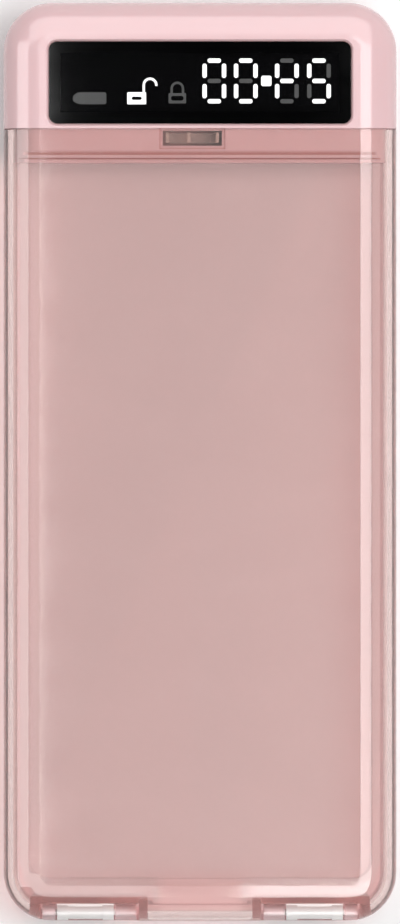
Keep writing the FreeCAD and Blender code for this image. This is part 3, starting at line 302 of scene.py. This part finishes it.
def make_moulded_surface():
    """Moulded plastic: flow drift of the colour, handling haze in the gloss, a fine skin in the height."""
    group, given, result = new_group(
        "moulded_surface",
        [
            ("Colour", COLOUR, (0.8, 0.8, 0.8, 1.0)),
            ("Drift", FLOAT, 0.06),
            ("Roughness", FLOAT, 0.2),
            ("Haze", FLOAT, 0.08),
            ("Skin Scale", FLOAT, 900.0),
        ],
        [("Colour", COLOUR), ("Roughness", FLOAT), ("Height", FLOAT)],
    )
    place = object_place(group)
    flow = noise(group, stretched(group, place, (1.6, 0.5, 1.0)), scale=14.0, detail=4.0)
    cloud = noise(group, place, scale=46.0, detail=5.0)
    drift = math_node(group, "SUBTRACT", math_node(group, "ADD", flow, cloud), 1.0)
    gain = math_node(group, "MULTIPLY_ADD", drift, given["Drift"], 1.0)
    group.links.new(multiply(group, given["Colour"], grey(group, gain)), result["Colour"])

    smear = stretched(group, place, (1.0, 3.2, 1.0), turn=0.6)
    hands = noise(group, smear, scale=38.0, detail=6.0, roughness=0.62)
    haze = spread(group, math_node(group, "POWER", hands, 2.0), 0.0, 2.0)
    rough = math_node(group, "MULTIPLY_ADD", haze, given["Haze"], given["Roughness"])
    group.links.new(rough, result["Roughness"])

    skin = noise(group, place, given["Skin Scale"], detail=2.0)
    wave = noise(group, place, scale=60.0, detail=1.0)
    group.links.new(math_node(group, "MULTIPLY_ADD", wave, WAVE_SHARE, skin), result["Height"])


def make_worked_metal():
    """Drawn, blanked or plated metal: fine lines one way, a cloudy tarnish, and both in the gloss."""
    group, given, result = new_group(
        "worked_metal",
        [
            ("Colour", COLOUR, (0.6, 0.6, 0.6, 1.0)),
            ("Tarnish", COLOUR, (0.35, 0.33, 0.3, 1.0)),
            ("Roughness", FLOAT, 0.3),
            ("Lines", FLOAT, 4000.0),
            ("Wear", FLOAT, 0.25),
        ],
        [("Colour", COLOUR), ("Roughness", FLOAT), ("Height", FLOAT)],
    )
    place = object_place(group)
    lines = noise(group, stretched(group, place, (1.0, 0.04, 1.0)), given["Lines"], detail=2.0)
    cloud = noise(group, place, scale=260.0, detail=5.0)
    stain = math_node(group, "MULTIPLY", math_node(group, "POWER", cloud, 2.0), given["Wear"])
    worn = math_node(group, "ADD", lines, stain)
    rough = math_node(group, "MULTIPLY_ADD", worn, WORN_ROUGHNESS, given["Roughness"])
    group.links.new(mix_colours(group, stain, given["Colour"], given["Tarnish"]), result["Colour"])
    group.links.new(rough, result["Roughness"])
    group.links.new(lines, result["Height"])


def make_painted_crevice_shade():
    """Painted shade in the steps, grooves and inner corners of a moulding: the colour darkens where its own
    walls close in.
    """
    group, given, result = new_group(
        "painted_crevice_shade",
        [
            ("Colour", COLOUR, (0.8, 0.8, 0.8, 1.0)),
            ("Painted Shade", COLOUR, (0.5, 0.4, 0.4, 1.0)),
            ("Reach", FLOAT, 4.0 * MM),
        ],
        [("Colour", COLOUR)],
    )
    # painted shade: the less open the surroundings of a point, the darker its colour
    reach = {"Distance": given["Reach"]}
    open_share = add(group, "ShaderNodeAmbientOcclusion", reach, samples=8, only_local=True)
    shade_share = math_node(group, "SUBTRACT", 1.0, open_share.outputs["AO"], clamp=True)
    shade_share = math_node(group, "MULTIPLY", shade_share, PAINTED_SHADE_GAIN, clamp=True)
    painted_shade_tint = mix_colours(group, shade_share, WHITE, given["Painted Shade"])
    group.links.new(multiply(group, given["Colour"], painted_shade_tint), result["Colour"])


def make_shared_groups():
    make_moulded_surface()
    make_worked_metal()
    make_painted_crevice_shade()


# ------------------------------------------------------------------ materials
def new_material(name):
    """An empty material, its tree and its output's sockets."""
    material = bpy.data.materials.new(name)
    material.use_nodes = True
    tree = material.node_tree
    tree.nodes.clear()
    return material, tree, tree.nodes.new("ShaderNodeOutputMaterial").inputs


def rgba(values):
    return (*values, 1.0)


def bump(tree, height, amount, depth):
    inputs = {"Height": height, "Strength": amount, "Distance": depth}
    return add(tree, "ShaderNodeBump", inputs).outputs["Normal"]


def clear_plastic(
    name, surface, depth_colour, density, lamp_share, roughness, milk, drift, relief
):
    """A see-through moulding: coloured in its depth, a little milky at its skin, open to the lamps' rays."""
    material, tree, out = new_material(name)
    skin = use_group(
        tree,
        "moulded_surface",
        {
            "Colour": rgba(surface),
            "Drift": drift,
            "Roughness": roughness,
            "Haze": 0.03,
            "Skin Scale": 600.0,
        },
    )
    body = add(
        tree,
        "ShaderNodeBsdfPrincipled",
        {
            "Base Color": skin["Colour"],
            "Roughness": skin["Roughness"],
            "Normal": bump(tree, skin["Height"], relief, CLEAR_SKIN_DEPTH),
            "IOR": ACRYLIC_IOR,
            "Transmission Weight": 1.0 - milk,
        },
    )
    open_way = add(tree, "ShaderNodeBsdfTransparent", {"Color": rgba(lamp_share)})
    rays = add(tree, "ShaderNodeLightPath")
    pane = add(
        tree,
        "ShaderNodeMixShader",
        {0: rays.outputs["Is Shadow Ray"], 1: body.outputs[0], 2: open_way.outputs[0]},
    )
    tree.links.new(pane.outputs[0], out["Surface"])
    held_back = {"Color": rgba(depth_colour), "Density": density}
    tree.links.new(add(tree, "ShaderNodeVolumeAbsorption", held_back).outputs[0], out["Volume"])
    return material


def opaque_plastic(
    name,
    surface,
    roughness,
    haze=0.06,
    drift=0.04,
    skin_scale=900.0,
    relief=0.06,
    soft=0.0,
    ior=1.5,
    painted_shade=None,
):
    """An opaque moulding with a satin skin, and with painted shade in its crevices where a colour is given
    for it.
    """
    material, tree, out = new_material(name)
    skin = use_group(
        tree,
        "moulded_surface",
        {
            "Colour": rgba(surface),
            "Drift": drift,
            "Roughness": roughness,
            "Haze": haze,
            "Skin Scale": skin_scale,
        },
    )
    base = skin["Colour"]
    # painted shade in the crevices, where a colour is given for it
    if painted_shade:
        base = use_group(tree, "painted_crevice_shade", {"Colour": base, "Painted Shade": rgba(painted_shade)})["Colour"]
    body = add(
        tree,
        "ShaderNodeBsdfPrincipled",
        {
            "Base Color": base,
            "Roughness": skin["Roughness"],
            "Normal": bump(tree, skin["Height"], relief, OPAQUE_SKIN_DEPTH),
            "IOR": ior,
            "Subsurface Weight": soft,
            "Subsurface Radius": SOFT_REACH,
            "Subsurface Scale": SOFT_DEPTH,
        },
    )
    tree.links.new(body.outputs[0], out["Surface"])
    return material


def metal(name, surface, tarnish, roughness, lines=4000.0, wear=0.3):
    """A metal with its working lines and a little tarnish."""
    material, tree, out = new_material(name)
    work = use_group(
        tree,
        "worked_metal",
        {
            "Colour": rgba(surface),
            "Tarnish": rgba(tarnish),
            "Roughness": roughness,
            "Lines": lines,
            "Wear": wear,
        },
    )
    body = add(
        tree,
        "ShaderNodeBsdfPrincipled",
        {
            "Base Color": work["Colour"],
            "Metallic": 1.0,
            "Roughness": work["Roughness"],
            "Normal": bump(tree, work["Height"], 0.15, METAL_LINE_DEPTH),
        },
    )
    tree.links.new(body.outputs[0], out["Surface"])
    return material


def lit_mark(name, surface, glow, glow_strength):
    """A light bar's diffuser, with a fine grain in its glow."""
    material, tree, out = new_material(name)
    grain = spread(tree, noise(tree, object_place(tree), scale=2600.0, detail=2.0), 0.9, 1.0)
    body = add(
        tree,
        "ShaderNodeBsdfPrincipled",
        {
            "Base Color": rgba(surface),
            "Roughness": 0.5,
            "Emission Color": multiply(tree, rgba(glow), grey(tree, grain)),
            "Emission Strength": glow_strength,
        },
    )
    tree.links.new(body.outputs[0], out["Surface"])
    return material


def smoked_window(name, smoke, clear_span_x, clear_span_y):
    """Smoked acrylic with a black print behind its border, open only over the marks."""
    material, tree, out = new_material(name)
    skin = use_group(
        tree,
        "moulded_surface",
        {
            "Colour": (0.001, 0.001, 0.0012, 1.0),
            "Drift": 0.02,
            "Roughness": 0.03,
            "Haze": 0.02,
            "Skin Scale": 300.0,
        },
    )
    axes = add(tree, "ShaderNodeSeparateXYZ", {0: object_place(tree)}).outputs
    clear = None
    for axis, (low, high) in ((0, clear_span_x), (1, clear_span_y)):
        above = math_node(tree, "GREATER_THAN", axes[axis], low)
        below = math_node(tree, "LESS_THAN", axes[axis], high)
        inside = math_node(tree, "MULTIPLY", above, below)
        clear = inside if clear is None else math_node(tree, "MULTIPLY", clear, inside)
    # over the marks, which lie against it, the window's back holds nothing more back
    behind = add(tree, "ShaderNodeNewGeometry").outputs["Backfacing"]
    front = math_node(tree, "SUBTRACT", 1.0, math_node(tree, "MULTIPLY", behind, clear))
    held = math_node(tree, "MULTIPLY", spread(tree, clear, 1.0, smoke), front)
    body = add(
        tree,
        "ShaderNodeBsdfPrincipled",
        {
            "Base Color": skin["Colour"],
            "Roughness": skin["Roughness"],
            "IOR": ACRYLIC_IOR,
            "Alpha": held,
        },
    )
    tree.links.new(body.outputs[0], out["Surface"])
    return material


def finish(material, *nodes):
    """Gives carried-over pieces of the frame their material."""
    for name in nodes:
        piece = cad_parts[name]
        piece.data.materials.clear()
        piece.data.materials.append(material)


def finish_faces(material, name, chosen):
    """Gives some faces of a piece a second material, by the middle of each face."""
    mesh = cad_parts[name].data
    mesh.materials.append(material)
    for face in mesh.polygons:
        if chosen(face.center):
            face.material_index = len(mesh.materials) - 1


def draw_in(name, gap):
    """Takes a piece's faces in by a hair, so that none lies in its neighbour's plane."""
    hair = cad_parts[name].modifiers.new("clear_of_neighbours", "DISPLACE")
    hair.mid_level = 0.0
    hair.strength = -gap


def on_cover_knuckle(place):
    """The cover's hinge knuckles: round the pins, between the tray's own knuckles."""
    _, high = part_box("hinge_pins")
    beside = KNUCKLE_NEAR < abs(place.x) < KNUCKLE_FAR
    return beside and place.y < high[1] + KNUCKLE_WALL and place.z < high[2] + KNUCKLE_WALL


# ------------------------------------------------------------------ operators
class LOCKBOX_OT_tray(Operator):
    """Finish the pink rear tray with its guard rail and charging slot"""

    bl_idname = "lockbox.tray"
    bl_label = "Tray"

    def execute(self, context):
        look = context.scene.lock_box_plastics
        material = clear_plastic(
            "pink_tray_plastic",
            look.tray_colour,
            look.tray_depth_colour,
            look.tray_density,
            look.tray_lamp_share,
            roughness=0.14,
            milk=look.tray_milk,
            drift=0.05,
            relief=0.05,
        )
        finish(material, "rear_tray")
        return {"FINISHED"}


class LOCKBOX_OT_cover(Operator):
    """Finish the clear cover, its catch and its hinge pins"""

    bl_idname = "lockbox.cover"
    bl_label = "Cover"

    def execute(self, context):
        look = context.scene.lock_box_plastics
        depth = (look.cover_depth_colour, look.cover_density, look.cover_lamp_share)
        clear = clear_plastic(
            "clear_cover_plastic",
            look.cover_colour,
            *depth,
            roughness=0.02,
            milk=look.cover_milk,
            drift=0.01,
            relief=0.01,
        )
        finish(clear, "front_cover")
        # the cover's knuckle faces: opaque near-white, partly a painted highlight of the glare in the clear
        # spool
        frosted = opaque_plastic(
            "knuckle_white_and_painted_glare", look.knuckle_white_and_glare, roughness=0.22, drift=0.02
        )
        finish_faces(frosted, "front_cover", on_cover_knuckle)
        # the catch: frosted, and coloured grey-brown as painted shade of the pocket around it
        catch = clear_plastic(
            "frosted_catch_painted_shade",
            look.catch_painted_shade_colour,
            *depth,
            roughness=0.14,
            milk=0.5,
            drift=0.03,
            relief=0.05,
        )
        finish(catch, "cover_catch")
        finish(opaque_plastic("hinge_pin_nylon", look.pin_colour, roughness=0.3), "hinge_pins")
        return {"FINISHED"}


class LOCKBOX_OT_head(Operator):
    """Finish the opaque head shells, and the push buttons and the socket on its end"""

    bl_idname = "lockbox.head"
    bl_label = "Head"

    def execute(self, context):
        look = context.scene.lock_box_plastics
        # the head shells get painted shade in their grooves and inner corners
        shell = opaque_plastic(
            "pink_head_plastic",
            look.head_colour,
            roughness=0.14,
            haze=0.03,
            drift=0.012,
            soft=0.1,
            painted_shade=look.painted_crevice_shade_tint,
        )
        finish(shell, "head_front_shell", "head_rear_shell")
        cap = opaque_plastic(
            "pink_button_plastic", look.button_colour, roughness=0.30, skin_scale=1600.0
        )
        finish(cap, "hour_button", "minute_button", "lock_button")
        plated = metal(
            "socket_steel", surface=(0.70, 0.70, 0.71), tarnish=(0.40, 0.40, 0.41), roughness=0.16
        )
        finish(plated, "usb_c_socket")
        return {"FINISHED"}


class LOCKBOX_OT_display(Operator):
    """Finish the smoked window and the light marks behind it"""

    bl_idname = "lockbox.display"
    bl_label = "Display"

    def execute(self, context):
        look = context.scene.lock_box_display
        low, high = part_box("display_module")
        clear_x = (low[0] + PRINT_OVERLAP, high[0] - PRINT_OVERLAP)
        clear_y = (low[1] + PRINT_OVERLAP, high[1] - PRINT_OVERLAP)
        finish(smoked_window("smoked_window", look.smoke, clear_x, clear_y), "display_window")
        black = opaque_plastic(
            "display_black", surface=(0.0025, 0.0025, 0.003), roughness=0.55, ior=1.08
        )
        finish(black, "display_module")
        lit = lit_mark("lit_mark", (0.8, 0.8, 0.8), look.lit_colour, look.lit_strength)
        finish(lit, "lit_segments")
        # painted glow on the unlit marks, though they are off
        idle_glow = lit_mark("idle_mark_painted_glow", (0.12, 0.12, 0.12), look.idle_glow_colour, look.idle_painted_glow)
        finish(idle_glow, "unlit_segments")
        draw_in("lit_segments", MARK_GAP)
        draw_in("unlit_segments", MARK_GAP)
        return {"FINISHED"}


class LOCKBOX_OT_boards(Operator):
    """Finish the circuit boards, their parts and leads, and the battery"""

    bl_idname = "lockbox.boards"
    bl_label = "Boards"

    def execute(self, context):
        green = opaque_plastic("board_green", surface=(0.02, 0.13, 0.05), roughness=0.30)
        finish(green, "main_board", "control_board")
        black = opaque_plastic("chip_black", surface=(0.02, 0.02, 0.022), roughness=0.45)
        finish(black, "board_parts", "tact_switches", "header_base")
        gold = metal("pin_gold", surface=(0.86, 0.68, 0.34), tarnish=(0.5, 0.36, 0.16), roughness=0.2)
        finish(gold, "header_pins")
        for colour_name, insulation in (("red", (0.55, 0.03, 0.02)), ("black", (0.02, 0.02, 0.02))):
            lead = opaque_plastic(
                "lead_" + colour_name, insulation, roughness=0.42, skin_scale=3000.0
            )
            finish(lead, "battery_lead_" + colour_name, "motor_lead_" + colour_name)
        foil = metal(
            "cell_foil",
            surface=(0.74, 0.74, 0.76),
            tarnish=(0.5, 0.5, 0.52),
            roughness=0.3,
            lines=300.0,
        )
        finish(foil, "battery_cell")
        return {"FINISHED"}


class LOCKBOX_OT_drive(Operator):
    """Finish the bolt, its rack and pinion, and the gear motor"""

    bl_idname = "lockbox.drive"
    bl_label = "Drive"

    def execute(self, context):
        steel = metal(
            "bolt_steel", surface=(0.50, 0.47, 0.44), tarnish=(0.24, 0.20, 0.17), roughness=0.26
        )
        brass = metal(
            "pinion_brass", surface=(0.80, 0.60, 0.28), tarnish=(0.42, 0.28, 0.12), roughness=0.24
        )
        can = metal(
            "motor_steel", surface=(0.66, 0.66, 0.66), tarnish=(0.38, 0.37, 0.36), roughness=0.2
        )
        cap = opaque_plastic("motor_cap_black", surface=(0.03, 0.03, 0.03), roughness=0.4)
        rack = opaque_plastic("rack_plastic", surface=(0.80, 0.77, 0.70), roughness=0.34)
        chassis = opaque_plastic("chassis_plastic", surface=(0.50, 0.43, 0.38), roughness=0.38)
        finish(steel, "latch_bolt", "output_shaft", "motor_clamp")
        finish(brass, "drive_pinion", "motor_gearbox")
        finish(can, "motor")
        finish(cap, "motor_cap")
        finish(rack, "bolt_rack")
        finish(chassis, "latch_chassis")
        return {"FINISHED"}


class LOCKBOX_OT_fasteners(Operator):
    """Finish the screws"""

    bl_idname = "lockbox.fasteners"
    bl_label = "Fasteners"

    def execute(self, context):
        zinc = metal(
            "screw_zinc",
            surface=(0.52, 0.53, 0.55),
            tarnish=(0.22, 0.22, 0.23),
            roughness=0.28,
            lines=2500.0,
            wear=0.4,
        )
        finish(zinc, "case_screws", "neck_screws", "board_screws", "chassis_screws")
        return {"FINISHED"}


# ------------------------------------------------------------------ studio
def lamp_between(name, start, end, half_width, radiance):
    """A rectangular lamp from the middle of one edge to the middle of the other, facing the ground.

    The camera itself doesn't see it, and light through clear plastic is counted once, as lamp rays.
    """
    start = Vector(start)
    end = Vector(end)
    along = (end - start).normalized()
    across = along.cross(Vector((0.0, 0.0, 1.0))).normalized()
    back = across.cross(along)
    data = bpy.data.lights.new(name, "AREA")
    data.shape = "RECTANGLE"
    data.size = 2.0 * half_width
    data.size_y = (end - start).length
    data.energy = radiance * math.pi * data.size * data.size_y
    lamp = bpy.data.objects.new(name, data)
    bpy.context.scene.collection.objects.link(lamp)
    facing = Matrix((across, along, back)).transposed()
    lamp.matrix_world = Matrix.LocRotScale((start + end) / 2, facing, None)
    lamp.visible_camera = False
    lamp.visible_transmission = False
    return lamp


def looked_at(tree):
    """1 for rays that come from the camera without a dull bounce, 0 for those that only light things."""
    rays = add(tree, "ShaderNodeLightPath").outputs
    return math_node(tree, "LESS_THAN", rays["Diffuse Depth"], 0.5)


def sheen_only(name, start, end, half_width, radiance):
    """A lamp that shows in polished surfaces and doesn't light dull ones, nor through clear plastic."""
    lamp = lamp_between(name, start, end, half_width, radiance)
    lamp.visible_diffuse = False
    lamp.data.use_nodes = True
    tree = lamp.data.node_tree
    set_inputs(tree, tree.nodes["Emission"], {"Color": WHITE, "Strength": looked_at(tree)})


def soft_light(name, start, end, half_width, radiance, sheen):
    """A lamp that lights everything, and a second one just below it with the brightness of its reflection."""
    lamp_between(name, start, end, half_width, radiance)
    lower = Vector((0.0, 0.0, SHEEN_DROP))
    sheen_only(name + "_sheen", Vector(start) - lower, Vector(end) - lower, half_width, sheen)


def plain_dark():
    """The black cloth of the card that hangs over the box, out of the camera's sight."""
    material, tree, out = new_material("black_cloth")
    weave = spread(tree, noise(tree, object_place(tree), scale=400.0), 0.004, 0.008)
    cloth = add(tree, "ShaderNodeBsdfDiffuse", {"Color": grey(tree, weave)})
    tree.links.new(cloth.outputs[0], out["Surface"])
    return material


def white_backdrop_material():
    """A white ground: it takes the box's shadow, and stays white where the lamps don't reach."""
    material, tree, out = new_material("white_ground")
    place = object_place(tree)
    grain = spread(tree, noise(tree, place, scale=900.0, detail=3.0), 0.90, 0.93)
    away = add(tree, "ShaderNodeVectorMath", {0: place}, operation="LENGTH").outputs["Value"]
    glow = add(
        tree,
        "ShaderNodeMapRange",
        {
            "Value": away,
            "From Min": GLOW_START,
            "From Max": GLOW_END,
            "To Min": GLOW_LOW,
            "To Max": GLOW_HIGH,
        },
        interpolation_type="SMOOTHSTEP",
    ).outputs[0]
    body = add(
        tree,
        "ShaderNodeBsdfPrincipled",
        {
            "Base Color": grey(tree, grain),
            "Roughness": 0.9,
            "Specular IOR Level": 0.0,
            "Emission Color": WHITE,
            "Emission Strength": math_node(tree, "MULTIPLY", looked_at(tree), glow),
        },
    )
    tree.links.new(body.outputs[0], out["Surface"])
    return material


def flat_piece(name, span_x, span_y, z, material):
    """A level sheet of the studio."""
    x0, x1 = span_x
    y0, y1 = span_y
    mesh = bpy.data.meshes.new(name)
    mesh.from_pydata([(x0, y0, z), (x1, y0, z), (x1, y1, z), (x0, y1, z)], [], [(0, 1, 2, 3)])
    mesh.materials.append(material)
    sheet = bpy.data.objects.new(name, mesh)
    bpy.context.scene.collection.objects.link(sheet)
    return sheet


def set_lamps(look):
    """The lamps, and the dark card that the box's flat front mirrors."""
    # a mirror flat on the box's front shows what lies this much further out at the lamps' height
    outward = 1.0 + LAMP_HEIGHT / look.view_distance
    side = outward * FLAT_HALF_WIDTH
    foot = outward * FLAT_FOOT
    soft_light(
        "key_light",
        (KEY_NEAR, KEY_SHIFT, LAMP_HEIGHT),
        (KEY_FAR, KEY_SHIFT, LAMP_HEIGHT),
        KEY_HALF_WIDTH,
        look.key_strength,
        look.key_sheen,
    )
    soft_light(
        "foot_light",
        (FOOT_SHIFT, foot, LAMP_HEIGHT),
        (FOOT_SHIFT, FOOT_FAR, LAMP_HEIGHT),
        FOOT_HALF_WIDTH,
        look.foot_strength,
        look.foot_sheen,
    )
    soft_light(
        "head_light",
        (0.0, HEAD_NEAR, LAMP_HEIGHT),
        (0.0, HEAD_FAR, LEAN_HEIGHT),
        HEAD_HALF_WIDTH,
        look.head_strength,
        look.head_sheen,
    )
    soft_light(
        "fill_light",
        (FILL_NEAR, FILL_SHIFT, LAMP_HEIGHT),
        (FILL_FAR, FILL_SHIFT, LEAN_HEIGHT),
        FILL_HALF_WIDTH,
        look.fill_strength,
        look.fill_sheen,
    )
    sheen_only(
        "corner_light",
        (-FOOT_SHIFT, foot, LAMP_HEIGHT),
        (-FOOT_SHIFT, FOOT_FAR, LAMP_HEIGHT),
        FOOT_HALF_WIDTH,
        look.corner_sheen,
    )
    sheen_only(
        "edge_light",
        (-side, 0.0, LAMP_HEIGHT),
        (EDGE_FAR, 0.0, LAMP_HEIGHT),
        EDGE_HALF_WIDTH,
        look.edge_sheen,
    )
    card = flat_piece("dark_card", CARD_SPAN_X, CARD_SPAN_Y, LAMP_HEIGHT + CARD_RISE, plain_dark())
    card.visible_camera = False
    card.visible_shadow = False


def set_world(scene, look):
    """White surroundings, with a strength of their own for each way of meeting them."""
    world = bpy.data.worlds.new("white_room")
    scene.world = world
    world.use_nodes = True
    tree = world.node_tree
    tree.nodes.clear()
    rays = add(tree, "ShaderNodeLightPath").outputs
    through = math_node(tree, "MULTIPLY", looked_at(tree), look.beyond_strength)
    sheen = math_node(tree, "MULTIPLY", looked_at(tree), look.room_sheen - look.room_strength)
    sheen = math_node(tree, "MULTIPLY", sheen, rays["Is Glossy Ray"])
    level = math_node(tree, "ADD", sheen, look.room_strength)
    level = mix_values(tree, rays["Is Transmission Ray"], level, through)
    level = mix_values(tree, rays["Is Camera Ray"], level, 1.0)
    room = add(tree, "ShaderNodeBackground", {"Color": WHITE, "Strength": level})
    out = tree.nodes.new("ShaderNodeOutputWorld")
    tree.links.new(room.outputs[0], out.inputs[0])


def set_camera(scene, look):
    """A distant camera straight above the box's front."""
    data = bpy.data.cameras.new("camera")
    data.sensor_fit = "AUTO"
    data.sensor_width = 36.0
    data.lens = data.sensor_width * look.view_distance / look.view_height
    data.clip_start = 0.05
    data.clip_end = 40.0
    camera = bpy.data.objects.new("camera", data)
    scene.collection.objects.link(camera)
    camera.location = (0.0, 0.0, look.outline_height + look.view_distance)
    camera.rotation_euler = (0.0, 0.0, 0.0)
    scene.camera = camera


class LOCKBOX_OT_studio(Operator):
    """Lay the white ground, set the lamps and the camera"""

    bl_idname = "lockbox.studio"
    bl_label = "Studio"

    def execute(self, context):
        look = context.scene.lock_box_studio
        span = (-GROUND_REACH, GROUND_REACH)
        flat_piece("ground", span, span, 0.0, white_backdrop_material())
        set_lamps(look)
        set_world(context.scene, look)
        set_camera(context.scene, look)
        context.scene.view_settings.view_transform = "Standard"
        return {"FINISHED"}


OPERATORS = (
    LOCKBOX_OT_tray,
    LOCKBOX_OT_cover,
    LOCKBOX_OT_head,
    LOCKBOX_OT_display,
    LOCKBOX_OT_boards,
    LOCKBOX_OT_drive,
    LOCKBOX_OT_fasteners,
    LOCKBOX_OT_studio,
)


class LOCKBOX_PT_panel(Panel):
    """Lists the settings and the pieces"""

    bl_idname = "LOCKBOX_PT_panel"
    bl_label = "Lock box"
    bl_space_type = "VIEW_3D"
    bl_region_type = "UI"
    bl_category = "Lock box"

    def draw(self, context):
        for group in SETTINGS:
            settings = getattr(context.scene, group)
            for name in settings.__annotations__:
                self.layout.prop(settings, name)
        for operator in OPERATORS:
            self.layout.operator(operator.bl_idname)


SETTINGS = {
    "lock_box_plastics": LockBoxPlastics,
    "lock_box_display": LockBoxDisplay,
    "lock_box_studio": LockBoxStudio,
}
CLASSES = (*SETTINGS.values(), *OPERATORS, LOCKBOX_PT_panel)


def register():
    for kind in CLASSES:
        bpy.utils.register_class(kind)
    for name, kind in SETTINGS.items():
        setattr(bpy.types.Scene, name, PointerProperty(type=kind))


def unregister():
    for name in SETTINGS:
        delattr(bpy.types.Scene, name)
    for kind in reversed(CLASSES):
        bpy.utils.unregister_class(kind)


def main():
    register()
    make_shared_groups()
    for operator in OPERATORS:
        getattr(bpy.ops.lockbox, operator.bl_idname.split(".")[1])()


if __name__ == "__main__":
    main()
